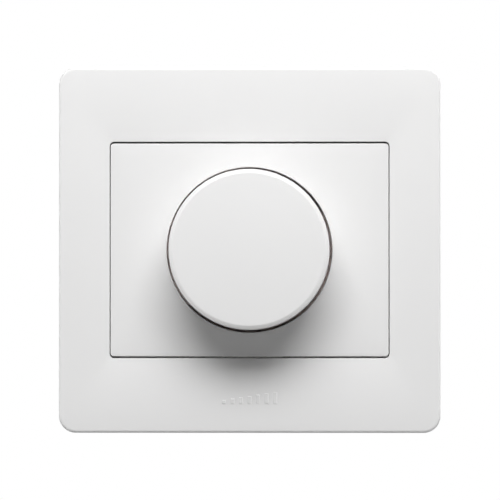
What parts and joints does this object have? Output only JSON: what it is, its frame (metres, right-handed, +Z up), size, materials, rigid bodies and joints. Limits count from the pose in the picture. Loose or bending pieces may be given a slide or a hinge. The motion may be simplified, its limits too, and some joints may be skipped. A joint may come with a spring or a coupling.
{
  "type": "rotary dimmer switch",
  "caption": "Flush-mounted rotary dimmer: white frame and centre plate, round push and turn knob, steel mounting plate with claws, rear housing with screw terminals.",
  "frame": {"origin": "on the knob's axis, in the plane of the wall's surface, at the centre of the box screws", "axes": "+Z up, -Y out of the wall into the room, +Y into the wall box along the knob's axis, +X to the right as seen from the room"},
  "size_m": [0.085, 0.0488, 0.0816],
  "materials": {
    "white_plastic": "satin moulded white",
    "zinc_steel": "bright zinc plate",
    "spring_steel": "plain spring steel",
    "nickel_brass": "nickel plate over brass",
    "brass": "plain pressed brass",
    "terminal_screw_steel": "yellow passivated zinc plate",
    "dark_grey_plastic": "fine-grained thermoset",
    "black_plastic": "moulded black",
    "pale_nylon": "natural nylon",
    "carbon_track": "carbon film on phenolic board",
    "contact_silver": "silver plate",
    "board_laminate": "phenolic paper laminate",
    "silicone_pad": "grey silicone",
    "ferrite": "sintered ferrite",
    "copper_wire": "enamelled copper",
    "yellow_case": "moulded yellow case",
    "green_coating": "dipped green coating",
    "resistor_coating": "beige lacquer",
    "clear_glass": "clear tube with end caps",
    "blue_glass": "blue coated glass"
  },
  "bodies": {
    "base": {"outer_frame": "white_plastic", "centre_plate": "white_plastic", "threaded_bushing": "nickel_brass", "bushing_washer": "zinc_steel", "bushing_nut": "zinc_steel", "cover_ring_nut": "nickel_brass", "mounting_plate": "zinc_steel", "left_claw_pin": "zinc_steel", "right_claw_pin": "zinc_steel", "rear_housing": "dark_grey_plastic", "housing_screws": "zinc_steel", "terminal_cage_1": "brass", "terminal_cage_2": "brass", "terminal_cage_3": "brass", "terminal_link_1": "brass", "terminal_link_2": "brass", "terminal_link_3": "brass", "terminal_screws": "terminal_screw_steel", "control_can": "spring_steel", "resistance_track": "carbon_track", "switch_case": "black_plastic", "fixed_contacts": "brass", "return_spring": "spring_steel", "circuit_board": "board_laminate", "triac": "black_plastic", "heat_pad": "silicone_pad", "triac_rivet": "zinc_steel", "choke_core": "ferrite", "choke_winding": "copper_wire", "suppression_capacitor": "yellow_case", "timing_capacitor": "green_coating", "resistors": "resistor_coating", "trigger_diode": "blue_glass", "cartridge_fuse": "clear_glass", "fuse_clips": "brass"},
    "plunger": {"switch_plunger": "pale_nylon", "contact_blade": "brass"},
    "knob": {"knob": "white_plastic", "knob_clip": "spring_steel", "spindle": "pale_nylon"},
    "rotor": {"control_rotor": "pale_nylon", "control_wiper": "contact_silver"},
    "left_claw": {"left_claw": "spring_steel"},
    "right_claw": {"right_claw": "spring_steel"},
    "left_claw_screw": {"left_claw_screw": "zinc_steel"},
    "right_claw_screw": {"right_claw_screw": "zinc_steel"}
  },
  "joints": [
    {"name": "knob_push", "type": "slide", "parent": "base", "child": "plunger", "axis": [0, 1, 0], "range_m": [0, 0.0012], "stiffness_N_per_m": 700, "springref_m": -0.004, "deforming": ["return_spring"]},
    {"name": "knob_turn", "type": "hinge", "parent": "plunger", "child": "knob", "pos_m": [0, 0, 0], "axis": [0, 1, 0], "range_deg": [0, 270]},
    {"name": "rotor_turn", "type": "hinge", "parent": "base", "child": "rotor", "pos_m": [0, 0, 0], "axis": [0, 1, 0], "range_deg": [0, 270]},
    {"name": "left_claw_swing", "type": "hinge", "parent": "base", "child": "left_claw", "pos_m": [-0.0264, 0.0028, 0], "axis": [0, 0, 1], "range_deg": [0, 25]},
    {"name": "right_claw_swing", "type": "hinge", "parent": "base", "child": "right_claw", "pos_m": [0.0264, 0.0028, 0], "axis": [0, 0, -1], "range_deg": [0, 25]},
    {"name": "left_claw_screw_drive", "type": "slide", "parent": "base", "child": "left_claw_screw", "axis": [0, 1, 0], "range_m": [0, 0.00101]},
    {"name": "right_claw_screw_drive", "type": "slide", "parent": "base", "child": "right_claw_screw", "axis": [0, 1, 0], "range_m": [0, 0.00101]}
  ],
  "couplings": [
    {"joint": "rotor_turn", "follows": "knob_turn", "ratio": 1},
    {"joint": "left_claw_screw_drive", "follows": "left_claw_swing", "m_per_rad": 0.0023},
    {"joint": "right_claw_screw_drive", "follows": "right_claw_swing", "m_per_rad": 0.0023}
  ]
}
